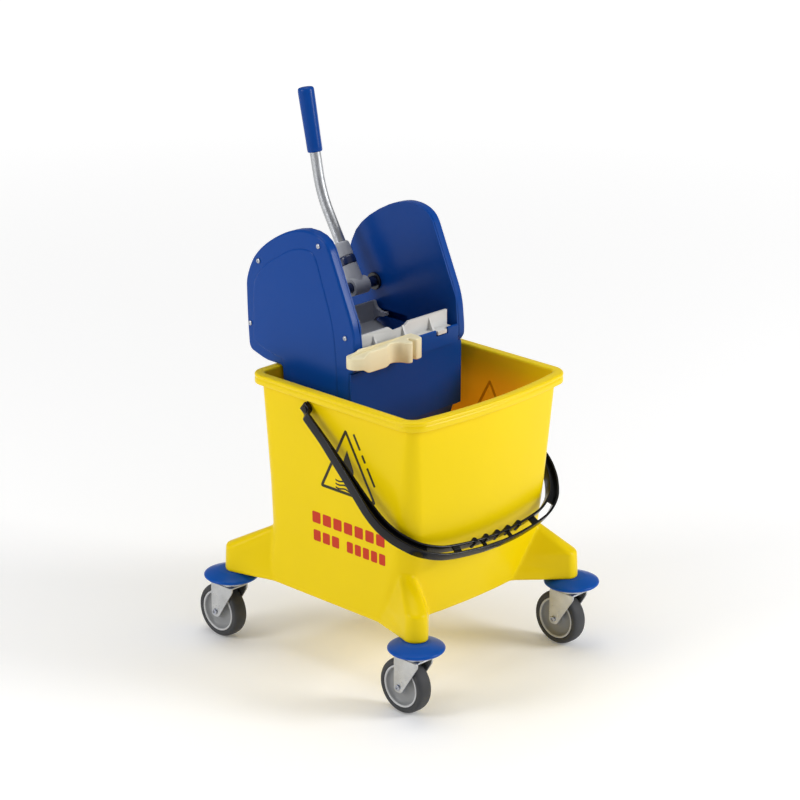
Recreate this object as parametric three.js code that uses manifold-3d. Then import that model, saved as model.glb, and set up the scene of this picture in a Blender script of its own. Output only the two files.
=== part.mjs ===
// Wheeled mop bucket with a press wringer.
// Millimetres, +Z up, the free (front) end of the bucket faces -Y, the wringer stands at the +Y end.
import * as THREE from 'three';
import { mergeVertices } from 'three/addons/utils/BufferGeometryUtils.js';
import Module from 'manifold-3d';

const wasm = await Module();
wasm.setup();

// ---------------------------------------------------------------- driving dimensions
const ORIGIN_SHIFT_Y = -17.23;     // moves the origin to the middle of the whole depth

// bucket
const RIM_Z = 419.3;               // top of the rolled rim
const LIP_HEIGHT = 14.3;           // height of the rolled rim flange
const LIP_OUT = 11.5;              // how far the flange stands off the wall
const FLOOR_Z = 123;               // inside bottom of the bucket
const SKIRT_Z = 110;               // lower edge of the skirt and of the four feet
const FOOT_TOP_Z = 148;

// casters
const CASTER_X = 161.4;
const CASTER_Y = 185.5;
const WHEEL_R = 40;
const WHEEL_WIDTH = 24;
const TRAIL = 19.7;                // axle behind the swivel axis
const BUMPER_R = 40;
const STEM_R = 5.5;

// carrying handle
const BAIL_Y = 31.6;
const BAIL_Z = 391;
const BAIL_DROP = 38.8;            // degrees below horizontal at rest
const BAIL_WIDTH = 15;             // across the handle's own plane
const BAIL_WEB = 3;
const BAIL_RAIL = 3.4;

// wringer
const WALL_IN = 95;                // inner face of the wringer's side walls
const WALL_OUT = 97.5;
const COVER_IN = 98;
const COVER_OUT = 111;
const COVER_SKIN = 2.5;
const SHAFT_Y = 145;
const SHAFT_Z = 497;
const SHAFT_R = 7.9;
const LEVER_X = 59;
const LEVER_BEND = [218, 621];     // (y, z) of the bend in the lever
const LEVER_TOP = [249, 774.5];    // (y, z) of the top of the grip
const LEVER_TUBE_R = 8;
const GRIP_R = 12;
const GRIP_LENGTH = 95;
const CRANK_R = 56;                // shaft axis to crank pin
const CRANK_REST = 15;             // degrees the crank leans back at rest
const PIN_R = 4;
const SLOT_SLACK = 2.35;           // the pin swings on an arc, the arm slides straight
const GUIDE_Y = 147;               // guide rod of the sliding press plate
const GUIDE_Z = 452;
const GUIDE_R = 5;
const PRESS_TRAVEL = 63;
const GAP = 0.3;                   // running clearance

// ---------------------------------------------------------------- materials
function material(color, roughness, metalness) {
  return new THREE.MeshStandardMaterial({ color, roughness, metalness });
}
const YELLOW = material(0xf0d400, 0.25, 0);
const BLUE = material(0x164a94, 0.3, 0);
const DISC_BLUE = material(0x1b55a8, 0.35, 0);
const BLACK = material(0x0c0c0d, 0.35, 0);
const CREAM = material(0xece2c0, 0.45, 0);
const WHITE = material(0xe4e3de, 0.45, 0);
const GREY = material(0x9a9da2, 0.5, 0);
const STEEL = material(0xb9bcc0, 0.3, 1);
const ZINC = material(0xc6c9cc, 0.35, 1);
const NAVY = material(0x101c38, 0.35, 0.2);
const HUB = material(0x8f9296, 0.5, 0);
const RUBBER = material(0x3b3c3f, 0.8, 0);

// ---------------------------------------------------------------- geometry helpers
function welded(geometry) {
  geometry.deleteAttribute('normal');
  geometry.deleteAttribute('uv');
  return mergeVertices(geometry, 1e-4);
}

function solid(geometry) {
  const m = welded(geometry);
  const mesh = new wasm.Mesh({
    numProp: 3,
    vertProperties: new Float32Array(m.attributes.position.array),
    triVerts: new Uint32Array(m.index.array),
  });
  return new wasm.Manifold(mesh);
}

function toGeometry(manifold) {
  const mesh = manifold.getMesh();
  const g = new THREE.BufferGeometry();
  const position = new Float32Array(mesh.numVert * 3);
  for (let i = 0; i < mesh.numVert; i += 1) {
    for (let k = 0; k < 3; k += 1) {
      position[3 * i + k] = mesh.vertProperties[mesh.numProp * i + k];
    }
  }
  g.setAttribute('position', new THREE.BufferAttribute(position, 3));
  g.setIndex(new THREE.BufferAttribute(new Uint32Array(mesh.triVerts), 1));
  return g;
}

function union(parts) {
  let result = parts[0];
  for (const part of parts.slice(1)) {
    result = result.add(part);
  }
  return result;
}

// closed solid through a stack of rings with the same number of points
function loft(rings) {
  const n = rings[0].length;
  const position = rings.flat(2);
  const index = [];
  for (let k = 0; k < rings.length - 1; k += 1) {
    for (let i = 0; i < n; i += 1) {
      const j = (i + 1) % n;
      const a = k * n + i;
      const b = k * n + j;
      index.push(a, b, b + n, a, b + n, a + n);
    }
  }
  const flat = rings[0].map((p) => new THREE.Vector2(p[0], p[1]));
  const last = (rings.length - 1) * n;
  const top = rings[rings.length - 1].map((p) => new THREE.Vector2(p[0], p[1]));
  for (const [a, b, c] of THREE.ShapeUtils.triangulateShape(flat, [])) {
    index.push(c, b, a);
  }
  for (const [a, b, c] of THREE.ShapeUtils.triangulateShape(top, [])) {
    index.push(last + a, last + b, last + c);
  }
  const g = new THREE.BufferGeometry();
  g.setAttribute('position', new THREE.Float32BufferAttribute(position, 3));
  g.setIndex(index);
  return solid(g);
}

function shapeOf(points) {
  const shape = new THREE.Shape();
  shape.setFromPoints(points.map((p) => new THREE.Vector2(p[0], p[1])));
  return shape;
}

// prism over an (x, y) outline, from z0 to z1
function prismZ(points, z0, z1) {
  const g = new THREE.ExtrudeGeometry(shapeOf(points), { depth: z1 - z0, bevelEnabled: false });
  g.translate(0, 0, z0);
  return solid(g);
}

// prism over a (y, z) outline, from x0 to x1
function prismX(points, x0, x1) {
  const g = new THREE.ExtrudeGeometry(shapeOf(points), { depth: x1 - x0, bevelEnabled: false });
  g.applyMatrix4(new THREE.Matrix4().set(0, 0, 1, x0, 1, 0, 0, 0, 0, 1, 0, 0, 0, 0, 0, 1));
  return solid(g);
}

function box(x0, x1, y0, y1, z0, z1) {
  const g = new THREE.BoxGeometry(x1 - x0, y1 - y0, z1 - z0);
  g.translate((x0 + x1) / 2, (y0 + y1) / 2, (z0 + z1) / 2);
  return solid(g);
}

// turned solid: profile of (radius, height) pairs, closed on itself or on the axis
function turned(profile, segments, from, direction) {
  const points = profile.map((p) => new THREE.Vector2(p[0], p[1]));
  const g = welded(new THREE.LatheGeometry(points, segments));
  const turn = new THREE.Quaternion();
  turn.setFromUnitVectors(new THREE.Vector3(0, 1, 0), direction.clone().normalize());
  g.applyQuaternion(turn);
  g.translate(from.x, from.y, from.z);
  return solid(g);
}

function ringProfile(inner, outer, h0, h1) {
  return [[inner, h0], [outer, h0], [outer, h1], [inner, h1], [inner, h0]];
}

function rodProfile(radius, h0, h1) {
  return [[0, h0], [radius, h0], [radius, h1], [0, h1]];
}

const X = new THREE.Vector3(1, 0, 0);
const Z = new THREE.Vector3(0, 0, 1);

function rodX(x0, x1, y, z, radius, segments = 24) {
  return turned(rodProfile(radius, x0, x1), segments, new THREE.Vector3(0, y, z), X);
}

function rodZ(x, y, z0, z1, radius, segments = 24) {
  return turned(rodProfile(radius, z0, z1), segments, new THREE.Vector3(x, y, 0), Z);
}

function arc(cx, cy, radius, a0, a1, steps) {
  const points = [];
  for (let i = 0; i <= steps; i += 1) {
    const a = THREE.MathUtils.degToRad(a0 + (a1 - a0) * i / steps);
    points.push([cx + radius * Math.cos(a), cy + radius * Math.sin(a)]);
  }
  return points;
}

const assembly = new THREE.Group();
assembly.name = 'mop_bucket_with_wringer';

function addPart(name, manifold, mat) {
  const g = toGeometry(manifold.translate([0, ORIGIN_SHIFT_Y, 0]));
  const mesh = new THREE.Mesh(g, mat);
  mesh.name = name;
  assembly.add(mesh);
}

// ---------------------------------------------------------------- bucket
// One horizontal outline of the tub: half width, front (bowed out by `bow`), back, corner radius.
function tubRing(z, half, front, back, radius, bow, grow = 0) {
  const a = half + grow;
  const f = front - grow;
  const b = back + grow;
  const r = radius + grow;
  const points = [];
  const steps = 8;
  for (let i = 1; i < steps; i += 1) {
    points.push([(a - r) * (2 * i / steps - 1), f]);
  }
  points.push(...arc(a - r, f + r, r, -90, 0, 4));
  points.push(...arc(a - r, b - r, r, 0, 90, 4));
  points.push(...arc(-a + r, b - r, r, 90, 180, 4));
  points.push(...arc(-a + r, f + r, r, 180, 270, 4));
  return points.map(([x, y]) => {
    const t = Math.min(1, Math.abs(x) / a);
    const front01 = THREE.MathUtils.clamp((f + r - y) / r, 0, 1);
    return [x, y - bow * (1 - t * t) * front01, z];
  });
}

const WALL_LEVELS = [
  [SKIRT_Z - 1.2, 153, -128, 136, 28, 13],
  [190, 145, -147, 130, 28, 14],
  [258, 145.7, -155, 130.7, 25, 15],
  [405, 149, -164, 134, 14, 15],
  [RIM_Z - 2, 149, -164, 134, 14, 15],
];

function tubShell(levels, grow) {
  return loft(levels.map(([z, a, f, b, r, bow]) => tubRing(z, a, f, b, r, bow, grow)));
}

function rimRing(z, out) {
  return tubRing(z, 149, -164, 134, 14, 15, out);
}

// A foot: a ridge running out from the corner of the tub to a round end over the caster.
// Each level: height, end radius, end centre, a point in the side wall, a point in the end wall.
const FOOT_FRONT = [
  [SKIRT_Z, 18.3, [155.2, 178.7], [150.5, 92], [80, 133]],
  [FOOT_TOP_Z, 16.5, [155, 178.5], [144, 116], [100, 138]],
  [184, 11, [131, 136], [137, 124], [112, 133]],
];
const FOOT_BACK = [
  [SKIRT_Z, 18.3, [154.9, 179], [150.5, 98], [80, 132.5]],
  [FOOT_TOP_Z, 16.5, [154.7, 178.8], [144, 108], [100, 128]],
  [184, 11, [130, 117], [136, 106], [112, 124]],
];

function foot(side, end) {
  const rings = (end < 0 ? FOOT_FRONT : FOOT_BACK).map(([z, r, c, p, q]) => {
    const outline = [[95, 90], p, ...arc(c[0], c[1], r, -15, 115, 8), q];
    const placed = outline.map(([x, y]) => [side * x, end * y, z]);
    return side * end < 0 ? placed.reverse() : placed;
  });
  const bore = rodZ(side * CASTER_X, end * CASTER_Y, SKIRT_Z - 1, 140, STEM_R + GAP, 18);
  return { body: loft(rings), bore };
}

const ENDS = [[-1, -1, 'front_left'], [1, -1, 'front_right'], [-1, 1, 'back_left'], [1, 1, 'back_right']];
const feet = ENDS.map(([side, end]) => foot(side, end));

const lip = loft([
  rimRing(RIM_Z - LIP_HEIGHT, LIP_OUT - 1),
  rimRing(RIM_Z - LIP_HEIGHT + 1.5, LIP_OUT),
  rimRing(RIM_Z - 6.5, LIP_OUT - 0.4),
  rimRing(RIM_Z - 5.3, LIP_OUT - 1.6),
  rimRing(RIM_Z - 4, LIP_OUT - 0.2),
  rimRing(RIM_Z - 1.2, LIP_OUT),
  rimRing(RIM_Z, LIP_OUT - 1.6),
]);
const lipHollow = loft([
  rimRing(RIM_Z - LIP_HEIGHT - 1, LIP_OUT - 3.5),
  rimRing(RIM_Z - 4.5, LIP_OUT - 4.5),
]).subtract(loft([
  rimRing(RIM_Z - LIP_HEIGHT - 2, 0.4),
  rimRing(RIM_Z, 0.4),
]));
const cavity = loft([
  tubRing(FLOOR_Z, 139, -124, 124, 22, 12),
  tubRing(190, 141, -143, 126, 24, 14),
  tubRing(258, 141.7, -151, 126.7, 21, 15),
  tubRing(405, 145, -160, 130, 10.5, 15),
  tubRing(RIM_Z + 2, 145.5, -160.5, 130.5, 10.5, 15),
]);
const underside = loft([
  tubRing(SKIRT_Z - 3, 148, -123, 131, 24, 13),
  tubRing(FLOOR_Z - 5, 146, -122, 129, 24, 13),
]);

let tub = tubShell(WALL_LEVELS, 0).add(lip);
tub = tub.subtract(underside);
tub = union([tub, ...feet.map((f) => f.body)]).subtract(lipHollow).subtract(cavity);
for (const f of feet) {
  tub = tub.subtract(f.bore);
}
tub = tub.subtract(rodX(-170, 170, BAIL_Y, BAIL_Z, 4.1, 20));
addPart('bucket_tub', tub, YELLOW);

// ---------------------------------------------------------------- casters
for (const [side, end, tag] of ENDS) {
  const cx = side * CASTER_X;
  const cy = end * CASTER_Y;
  const at = new THREE.Vector3(cx, cy, 0);
  const bumper = [
    [STEM_R + GAP, 90], [17, 90], [38.4, 98.6], [BUMPER_R, 101], [38.6, 103.4], [30, 107],
    [20, SKIRT_Z - GAP], [STEM_R + GAP, SKIRT_Z - GAP], [STEM_R + GAP, 90],
  ];
  addPart(`bumper_disc_${tag}`, turned(bumper, 28, at, Z), DISC_BLUE);
  const stem = [[0, 87], [17.5, 87], [17.5, 89.7], [STEM_R, 89.7], [STEM_R, 137], [4, 138.5], [0, 138.5]];
  addPart(`caster_stem_${tag}`, turned(stem, 18, at, Z), ZINC);

  const axleY = cy + TRAIL;
  const leg = [
    [cy - 17, 86.6], [cy - 17, 80], [axleY - 7, 36], ...arc(axleY, WHEEL_R, 8, 210, 360, 6),
    [axleY + 8, 84], [axleY + 6, 86.6],
  ];
  const crown = box(cx - 16, cx + 16, cy - 17, cy + TRAIL + 6, 84.1, 86.6);
  const fork = union([
    prismX(leg, cx - 16, cx - 13.4),
    prismX(leg, cx + 13.4, cx + 16),
    crown,
  ]).subtract(rodX(cx - 20, cx + 20, axleY, WHEEL_R, 3.3, 16));
  addPart(`caster_fork_${tag}`, fork, ZINC);

  const axleAt = new THREE.Vector3(cx, axleY, WHEEL_R);
  const axle = [
    [0, -18.6], [5, -18.6], [5, -16.3], [3, -16.3], [3, 16.3], [5, 16.3], [5, 18.6], [0, 18.6],
  ];
  addPart(`axle_bolt_${tag}`, turned(axle, 12, axleAt, X), STEEL);
  const hub = [
    [3.3, -12.8], [9, -12.8], [10.5, -6], [25, -4], [28, -10.6], [30.4, -10.6], [30.4, -3],
    [30.4, 3], [30.4, 10.6], [28, 10.6], [25, 4], [10.5, 6], [9, 12.8], [3.3, 12.8], [3.3, -12.8],
  ];
  addPart(`wheel_rim_${tag}`, turned(hub, 24, axleAt, X), HUB);
  const half = WHEEL_WIDTH / 2;
  const tread = [
    [30.7, -10.4], [33, -half], [36, -half], [38.8, -half + 3], [WHEEL_R, -half + 7],
    [WHEEL_R, half - 7], [38.8, half - 3], [36, half], [33, half], [30.7, 10.4], [30.7, -10.4],
  ];
  addPart(`wheel_tread_${tag}`, turned(tread, 32, axleAt, X), RUBBER);
}

// ---------------------------------------------------------------- carrying handle
// Outer edge of the right half in the handle's own plane: (x, distance from the pivot line).
const BAIL_EDGE = [
  [158.6, -7], [158.6, 5], [166.3, 11.4], [167, 54], [169.6, 85], [172.2, 117], [175.5, 148],
  [178, 176], [176.5, 200], [171, 219], [161.5, 237], [143, 259], [117, 274.5], [90, 282.5],
  [42, 289], [0, 291],
];
const BAIL_DEPTH = [8, 8, 5, 5.6, 7.8, 10, 12.5, 15, 15.8, 15.8, 15.8, 15.8, 15.8, 15.8, 15.8, 15.8];

function bailOffset(points, amounts) {
  return points.map((p, i) => {
    const a = points[Math.max(0, i - 1)];
    const b = points[Math.min(points.length - 1, i + 1)];
    const dx = i === points.length - 1 ? -1 : b[0] - a[0];
    const dy = i === points.length - 1 ? 0 : b[1] - a[1];
    const l = Math.hypot(dx, dy);
    return [p[0] - amounts[i] * dy / l, p[1] + amounts[i] * dx / l];
  });
}

function bothHalves(right) {
  const left = right.slice(0, -1).reverse().map(([x, y]) => [-x, y]);
  return [...right, ...left];
}

function bailBand(outer, inner) {
  return [...bothHalves(outer), ...bothHalves(inner).reverse()];
}

const bailInner = bailOffset(BAIL_EDGE, BAIL_DEPTH);
bailInner[0][1] = -7;
const bailHalf = BAIL_WIDTH / 2;
let bail = prismZ(bailBand(BAIL_EDGE, bailInner), -bailHalf, bailHalf);
const pocketFrom = 4;
const pocketOuter = bailOffset(BAIL_EDGE, BAIL_EDGE.map(() => BAIL_RAIL)).slice(pocketFrom);
const pocketInner = bailOffset(BAIL_EDGE, BAIL_DEPTH.map((d) => Math.max(d - BAIL_RAIL, 3.6)))
  .slice(pocketFrom);
const pocket = bailBand(pocketOuter, pocketInner);
bail = bail.subtract(prismZ(pocket, BAIL_WEB / 2, bailHalf + 1));
bail = bail.subtract(prismZ(pocket, -bailHalf - 1, -BAIL_WEB / 2));
for (const [x0, x1] of [[-73, -35], [-21, 17], [31, 69]]) {
  const y = 283.2 - 6 * ((x0 + x1) / 180) ** 2;
  bail = bail.subtract(box(x0, x1, y - 4.2, y + 4.2, -3, 3));
}
for (const x of [-45, -22.5, 0, 22.5, 45]) {
  const y = 274.6 - 1.4 * (x / 45) ** 2;
  bail = bail.add(rodZ(x, y, -bailHalf, bailHalf, 4.6, 10));
}
bail = bail.subtract(rodX(-170, 170, 0, 0, 4.1, 20));
// stand the flat handle up: its own +y points forward and down, its +z forward and up
bail = bail.rotate([180 + BAIL_DROP, 0, 0]).translate([0, BAIL_Y, BAIL_Z]);
addPart('bail_handle', bail, BLACK);

for (const [side, tag] of [[-1, 'left'], [1, 'right']]) {
  const rivet = [
    [0, 140.6], [7, 140.6], [7, 144.2], [3.8, 144.4], [3.8, 158.9], [5, 158.9], [5, 159.8],
    [4.2, 160.3], [0, 160.3],
  ];
  const direction = new THREE.Vector3(side, 0, 0);
  const at = new THREE.Vector3(0, BAIL_Y, BAIL_Z);
  addPart(`bail_pin_${tag}`, turned(rivet, 20, at, direction), BLACK);
}

// ---------------------------------------------------------------- wringer housing
// Side panel outline (y, z), from the low front corner over the arch to the hook at the back.
const PANEL_ARCH = [
  [-14, 441], [-20, 450], [-20, 464], [-16, 506], [30, 609], [37, 618], [48, 624.5], [62, 628],
  [80, 628.5], [97, 625], [116, 618], [136, 607.5], [156, 594.5], [172, 581], [184, 567], [193, 549],
  [198.5, 532], [197.5, 480], [194.5, 437], [190, 430], [160, 421],
];
const COVER_BOTTOM = 342;
const PANEL = [
  [-8.6, COVER_BOTTOM], [-8.6, 439.2], ...PANEL_ARCH, [126, 421], [125, 400], [120.5, COVER_BOTTOM],
];

function inset(points, amount) {
  const n = points.length;
  const area = points.reduce((s, p, i) => {
    const q = points[(i + 1) % n];
    return s + p[0] * q[1] - q[0] * p[1];
  }, 0);
  const turn = Math.sign(area);
  return points.map((p, i) => {
    const a = points[(i + n - 1) % n];
    const b = points[(i + 1) % n];
    const u = new THREE.Vector2(p[0] - a[0], p[1] - a[1]).normalize();
    const v = new THREE.Vector2(b[0] - p[0], b[1] - p[1]).normalize();
    const nu = new THREE.Vector2(-u.y, u.x).multiplyScalar(turn);
    const nv = new THREE.Vector2(-v.y, v.x).multiplyScalar(turn);
    const m = nu.clone().add(nv).normalize();
    const k = amount / Math.max(0.35, m.dot(nu));
    return [p[0] + m.x * k, p[1] + m.y * k];
  });
}

// walls of the basket that hangs inside the bucket: (y, z) of the front and back faces
const BASKET_BOTTOM = 305;
const FRONT_WALL = [[-12, 439], [-12, COVER_BOTTOM + 3], [2, BASKET_BOTTOM]];
const BACK_WALL = [[126, 424], [125.6, 400], [118, BASKET_BOTTOM]];
const sideWall = [
  ...PANEL_ARCH.slice(1), [126, 421], BACK_WALL[1], BACK_WALL[2], [FRONT_WALL[2][0] + 4, BASKET_BOTTOM],
  [-8.7, COVER_BOTTOM + 4], [-8.7, 441],
];

const body = [];
for (const s of [-1, 1]) {
  const x0 = Math.min(s * WALL_IN, s * WALL_OUT);
  const x1 = Math.max(s * WALL_IN, s * WALL_OUT);
  body.push(prismX(inset(sideWall, 0.4), x0, x1));
}
const inX = WALL_IN + 1;
body.push(prismX([
  [122.6, 401], [115, BASKET_BOTTOM], BACK_WALL[2], BACK_WALL[1], [126.5, 419.6], [146.2, 419.6],
  [146.2, 408], [149.2, 406], [149.2, 423], [122.8, 423],
], -inX, inX));
body.push(prismX([
  [6.2, BASKET_BOTTOM], [118, BASKET_BOTTOM], [118, BASKET_BOTTOM + 3], [6.2, BASKET_BOTTOM + 3],
], -inX, inX));

let wringer = union(body);
for (let i = 0; i < 5; i += 1) {
  for (const y of [37, 89]) {
    const x = -72 + 36 * i;
    wringer = wringer.subtract(box(x - 6, x + 6, y - 19, y + 19, BASKET_BOTTOM - 2, BASKET_BOTTOM + 5));
  }
}
const slotFront = GUIDE_Y - PRESS_TRAVEL;
const slot = [
  ...arc(GUIDE_Y, GUIDE_Z, GUIDE_R + 0.6, -90, 90, 8),
  ...arc(slotFront, GUIDE_Z, GUIDE_R + 0.6, 90, 270, 8),
];
wringer = wringer.subtract(prismX(slot, -120, 120));
wringer = wringer.subtract(rodX(-120, 120, SHAFT_Y, SHAFT_Z, 10.5));
addPart('wringer_body', wringer, BLUE);

// front wall, as wide as the covers above the basket, with a turned-over lip along its top
const frontX = WALL_IN - 0.4;
const NOTCH = [50, 74];            // finger notch in the lip
const frontWall = union([
  box(-COVER_OUT, COVER_OUT, -12, -9, FRONT_WALL[1][1], FRONT_WALL[0][1]),
  prismX([
    [-12, 445], [-12, FRONT_WALL[1][1]], FRONT_WALL[2], [FRONT_WALL[2][0] + 3, BASKET_BOTTOM],
    [-9, FRONT_WALL[1][1] + 1], [-9, 445],
  ], -frontX, frontX),
  prismX([
    [-21, 442], [-21, 466.6], [-19.8, 468], [-18, 468], [-18, 463], [-9, 463], [-9, 441], [-12, 441],
    [-12, 460], [-18, 460], [-18, 442],
  ], -frontX, frontX),
]).subtract(box(...NOTCH, -30, -17.9, 459, 475));
addPart('wringer_front_wall', frontWall, BLUE);

// ---------------------------------------------------------------- side covers and their screws
const SCREWS = [[171, 565.5], [50, 611], [-1, 490], [190, 470]];
const FIELD = [
  [13, COVER_BOTTOM + 1], [15, 430], [18.5, 476], [25, 511], [37, 544], [50, 580], [55, 592], [61, 599.5],
  [71, 602], [84, 601.5], [100, 597], [112, 591.5], [150, 569], [172, 549], [182, 531], [184, 445],
  [160, 437], [122, 431], [116, COVER_BOTTOM + 1],
];
for (const [side, tag] of [[-1, 'left'], [1, 'right']]) {
  const span = (a, b) => [Math.min(side * a, side * b), Math.max(side * a, side * b)];
  let cover = prismX(PANEL, ...span(COVER_IN, COVER_OUT));
  cover = cover.add(prismX(FIELD, ...span(COVER_OUT - 1, COVER_OUT + 1.2)));
  cover = cover.subtract(prismX(inset(PANEL, COVER_SKIN), ...span(COVER_IN - 1, COVER_OUT - COVER_SKIN)));
  for (const [y, z] of SCREWS) {
    const post = rodX(...span(COVER_IN, COVER_OUT - 1), y, z, 4, 10);
    cover = cover.add(post).subtract(rodX(...span(COVER_IN - 1, COVER_OUT + 2), y, z, 2.3, 10));
  }
  addPart(`side_cover_${tag}`, cover, BLUE);
  SCREWS.forEach(([y, z], i) => {
    const screw = [[0, 101], [2, 101], [2, 111.3], [3.6, 111.3], [3.3, 112.8], [0, 113.3]];
    const direction = new THREE.Vector3(side, 0, 0);
    const made = turned(screw, 10, new THREE.Vector3(0, y, z), direction);
    addPart(`cover_screw_${tag}_${i + 1}`, made, STEEL);
  });

  const bush = [[8.2, 91], [13, 91], [13, 94.7], [10.2, 94.7], [10.2, 97.3], [8.2, 97.3], [8.2, 91]];
  const direction = new THREE.Vector3(side, 0, 0);
  const at = new THREE.Vector3(0, SHAFT_Y, SHAFT_Z);
  addPart(`shaft_bush_${tag}`, turned(bush, 24, at, direction), BLACK);
}

// ---------------------------------------------------------------- lever and shaft
addPart('cross_shaft', rodX(-102.3, 102.3, SHAFT_Y, SHAFT_Z, SHAFT_R, 28), NAVY);

const shaftPoint = new THREE.Vector3(LEVER_X, SHAFT_Y, SHAFT_Z);
const bendPoint = new THREE.Vector3(LEVER_X, ...LEVER_BEND);
const topPoint = new THREE.Vector3(LEVER_X, ...LEVER_TOP);
const lower = bendPoint.clone().sub(shaftPoint).normalize();
const upper = topPoint.clone().sub(bendPoint).normalize();

let socket = turned(rodProfile(11.8, 0, 33), 28, shaftPoint, lower);
socket = socket.add(rodX(LEVER_X - 15, LEVER_X + 15, SHAFT_Y, SHAFT_Z, 13, 28));
socket = socket.subtract(rodX(0, 120, SHAFT_Y, SHAFT_Z, SHAFT_R + GAP, 28));
socket = socket.subtract(turned(rodProfile(LEVER_TUBE_R + GAP, 15, 40), 28, shaftPoint, lower));
addPart('lever_socket', socket, GREY);
addPart('lever_collar', turned(ringProfile(8.3, 12.4, 33.4, 45.5), 24, shaftPoint, lower), BLUE);
addPart('lever_sleeve', turned(ringProfile(8.3, 12, 45.9, 67.5), 24, shaftPoint, lower), GREY);

const tubePath = new THREE.CurvePath();
const p0 = shaftPoint.clone().addScaledVector(lower, 16);
const p1 = bendPoint.clone().addScaledVector(lower, -30);
const p2 = bendPoint.clone().addScaledVector(upper, 30);
const p3 = topPoint.clone().addScaledVector(upper, -14);
tubePath.add(new THREE.LineCurve3(p0, p1));
tubePath.add(new THREE.QuadraticBezierCurve3(p1, bendPoint, p2));
tubePath.add(new THREE.LineCurve3(p2, p3));
const tubeSection = shapeOf(arc(0, 0, LEVER_TUBE_R, 0, 340, 17));
const tubeGeometry = new THREE.ExtrudeGeometry(tubeSection, { steps: 24, extrudePath: tubePath });
addPart('lever_tube', solid(tubeGeometry), STEEL);

const gripFoot = topPoint.clone().addScaledVector(upper, -GRIP_LENGTH);
const grip = [
  [0, GRIP_LENGTH - 13], [LEVER_TUBE_R + GAP, GRIP_LENGTH - 13], [LEVER_TUBE_R + GAP, 0], [10.4, 0],
  [11.2, 3], [GRIP_R, 60], [12.4, 89], [10.9, 93.2], [6, GRIP_LENGTH], [0, GRIP_LENGTH],
];
addPart('lever_grip', turned(grip, 28, gripFoot, upper), BLUE);

// ---------------------------------------------------------------- cranks and drive arms
const rest = THREE.MathUtils.degToRad(CRANK_REST);
const pinY = SHAFT_Y + CRANK_R * Math.sin(rest);
const pinZ = SHAFT_Z + CRANK_R * Math.cos(rest);
const slotY = pinY - SLOT_SLACK;
for (const [side, tag] of [[-1, 'left'], [1, 'right']]) {
  const span = (a, b) => [Math.min(side * a, side * b), Math.max(side * a, side * b)];
  const across = new THREE.Vector2(pinZ - SHAFT_Z, SHAFT_Y - pinY).normalize();
  const arm = [
    [SHAFT_Y + across.x * 9, SHAFT_Z + across.y * 9], [SHAFT_Y - across.x * 9, SHAFT_Z - across.y * 9],
    [pinY - across.x * 6.5, pinZ - across.y * 6.5], [pinY + across.x * 6.5, pinZ + across.y * 6.5],
  ].reverse();
  let crank = union([
    rodX(...span(98.3, 102.2), SHAFT_Y, SHAFT_Z, 14, 28),
    prismX(arm, ...span(98.3, 102.2)),
    rodX(...span(98.3, 102.2), pinY, pinZ, 6.5, 20),
    rodX(...span(98.3, 107.4), pinY, pinZ, PIN_R, 20),
  ]);
  crank = crank.subtract(rodX(...span(90, 110), SHAFT_Y, SHAFT_Z, SHAFT_R + GAP, 28));
  addPart(`crank_${tag}`, crank, ZINC);

  let drive = prismX([
    [GUIDE_Y - 9, GUIDE_Z - 9], [GUIDE_Y + 9, GUIDE_Z - 9], [slotY + 9.7, 505], [slotY + 9.7, 561.3],
    [slotY - 9.7, 561.3], [slotY - 9.7, 510], [GUIDE_Y - 9, GUIDE_Z + 9],
  ], ...span(102.8, 106.8));
  const window = box(...span(100, 110), slotY - 6.7, slotY + 6.7, pinZ - 32, pinZ + 7.6);
  drive = drive.subtract(window);
  drive = drive.subtract(rodX(...span(100, 110), GUIDE_Y, GUIDE_Z, GUIDE_R + 0.25, 20));
  addPart(`drive_arm_${tag}`, drive, ZINC);
}

// ---------------------------------------------------------------- press plates
addPart('guide_rod', rodX(-107.6, 107.6, GUIDE_Y, GUIDE_Z, GUIDE_R, 20), STEEL);

const PRESS_X = 90;
const plate = [
  [138, 470], [138, 441], [106, 427], [106, 318], [110, 318], [110, 424.4], [142, 438.4], [142, 470],
];
const horn = [
  [142, 470], [138, 470], [135, 463], [129, 458.5], [121, 456.5], [113, 457.5], [112, 453.5],
  [118, 450.5], [130, 449], [138, 440], [142, 440], [149, 441], [157, 446], [157.5, 456], [152, 463],
];
let rear = prismX(plate, -PRESS_X, PRESS_X);
for (const x of [-PRESS_X, -32, 26, PRESS_X - 6]) {
  rear = rear.add(prismX(horn, x, x + 6));
}
for (let i = 0; i < 5; i += 1) {
  const x = -72 + 36 * i;
  rear = rear.add(box(x - 1.5, x + 1.5, 109, 115, 322, 422));
  rear = rear.subtract(box(x + 10, x + 26, 104, 112, 340, 405));
}
rear = rear.subtract(rodX(-120, 120, GUIDE_Y, GUIDE_Z, GUIDE_R + 0.25, 20));
addPart('rear_press_plate', rear, GREY);

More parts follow.
